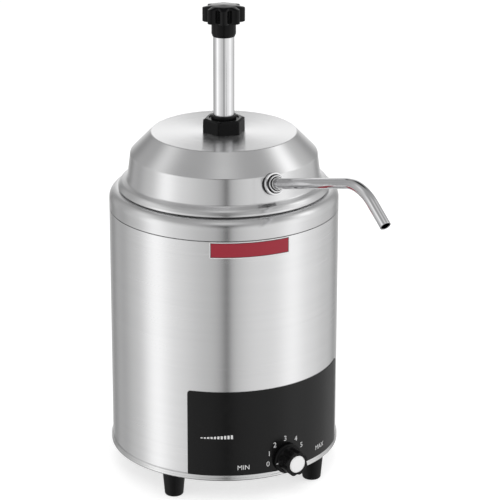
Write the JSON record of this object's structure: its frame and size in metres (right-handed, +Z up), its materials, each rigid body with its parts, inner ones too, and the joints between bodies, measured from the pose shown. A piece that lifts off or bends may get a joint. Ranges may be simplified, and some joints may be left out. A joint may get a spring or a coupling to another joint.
{
  "type": "hot fudge topping warmer",
  "caption": "Round countertop warmer with a heated water well, lift-out jar, domed lid carrying a plunger pump with a bent spout, and a dial thermostat on a dark panel.",
  "frame": {"origin": "on the body's axis, in the plane that the four feet stand on", "axes": "+Z up along the body and the plunger; the spout and the dial are at the front, -Y; +X is to the right of someone who faces the front"},
  "size_m": [0.2226, 0.4077, 0.4618],
  "materials": {
    "brushed_steel": "satin, brushed round the body",
    "drawn_steel": "satin, spun in circles",
    "polished_steel": "polished steel",
    "black_plastic": "moulded",
    "gloss_black_plastic": "moulded, glossy",
    "black_rubber": "moulded rubber",
    "seal_rubber": "soft rubber",
    "insulation_wool": "glass-fibre felt",
    "ceramic": "unglazed ceramic",
    "panel_film": "satin printed film"
  },
  "bodies": {
    "root": {"base_pan": "brushed_steel", "foot_front_left": "black_rubber", "foot_front_right": "black_rubber", "foot_rear_right": "black_rubber", "foot_rear_left": "black_rubber", "foot_screws": "polished_steel", "foot_nuts": "polished_steel", "outer_shell": "brushed_steel", "top_ring": "drawn_steel", "water_well": "drawn_steel", "well_insulation": "insulation_wool", "control_panel": "panel_film", "thermostat": "black_plastic", "thermostat_nut": "polished_steel", "heater_element": "drawn_steel", "heater_clamp": "drawn_steel", "heater_studs": "polished_steel", "heater_nuts": "polished_steel", "tie_studs": "polished_steel", "tie_nuts": "polished_steel", "sensor_bulb": "polished_steel", "thermal_cutout": "black_plastic", "cord_gland": "black_plastic", "gland_cap": "black_plastic", "gland_seal": "seal_rubber", "gland_nut": "black_plastic", "terminal_block": "ceramic", "earth_screw": "polished_steel"},
    "dial": {"dial_knob": "gloss_black_plastic", "dial_cap": "polished_steel", "thermostat_shaft": "polished_steel"},
    "jar": {"jar": "drawn_steel"},
    "lid": {"lid": "drawn_steel", "pump_head": "gloss_black_plastic", "locking_nut": "gloss_black_plastic", "guide_bush": "gloss_black_plastic", "pump_cylinder": "polished_steel", "spring_guide": "black_plastic", "valve_body": "black_plastic", "ball_stop": "polished_steel", "riser_tube": "polished_steel", "spout_tube": "polished_steel", "spout_bushing": "polished_steel", "spout_collar_nut": "polished_steel", "spout_saddle": "seal_rubber", "backing_washer": "seal_rubber", "backing_nut": "polished_steel", "return_spring": "polished_steel"},
    "plunger": {"plunger_tube": "polished_steel", "tube_plug": "black_plastic", "piston_rod": "polished_steel", "piston": "black_plastic", "piston_seal": "seal_rubber", "piston_nut": "polished_steel", "plunger_knob": "gloss_black_plastic", "knob_stud": "polished_steel"},
    "intake_ball": {"intake_ball": "polished_steel"},
    "discharge_ball": {"discharge_ball": "polished_steel"}
  },
  "joints": [
    {"name": "dial_turn", "type": "hinge", "parent": "root", "child": "dial", "pos_m": [0.0047, -0.1121, 0.0412], "axis": [0.0419, -0.9991, 0], "range_deg": [-165, 0]},
    {"name": "jar_lift", "type": "slide", "parent": "root", "child": "jar", "axis": [0, 0, 1], "range_m": [0, 0.18]},
    {"name": "lid_lift", "type": "slide", "parent": "jar", "child": "lid", "axis": [0, 0, 1], "range_m": [0, 0.18]},
    {"name": "pump_stroke", "type": "slide", "parent": "lid", "child": "plunger", "axis": [0, 0, -1], "range_m": [0, 0.05], "stiffness_N_per_m": 400, "springref_m": -0.03, "deforming": ["return_spring"]},
    {"name": "intake_ball_lift", "type": "slide", "parent": "lid", "child": "intake_ball", "axis": [0, 0, 1], "range_m": [0, 0.0022]},
    {"name": "discharge_ball_lift", "type": "slide", "parent": "lid", "child": "discharge_ball", "axis": [0, 0, 1], "range_m": [0, 0.0022]}
  ]
}
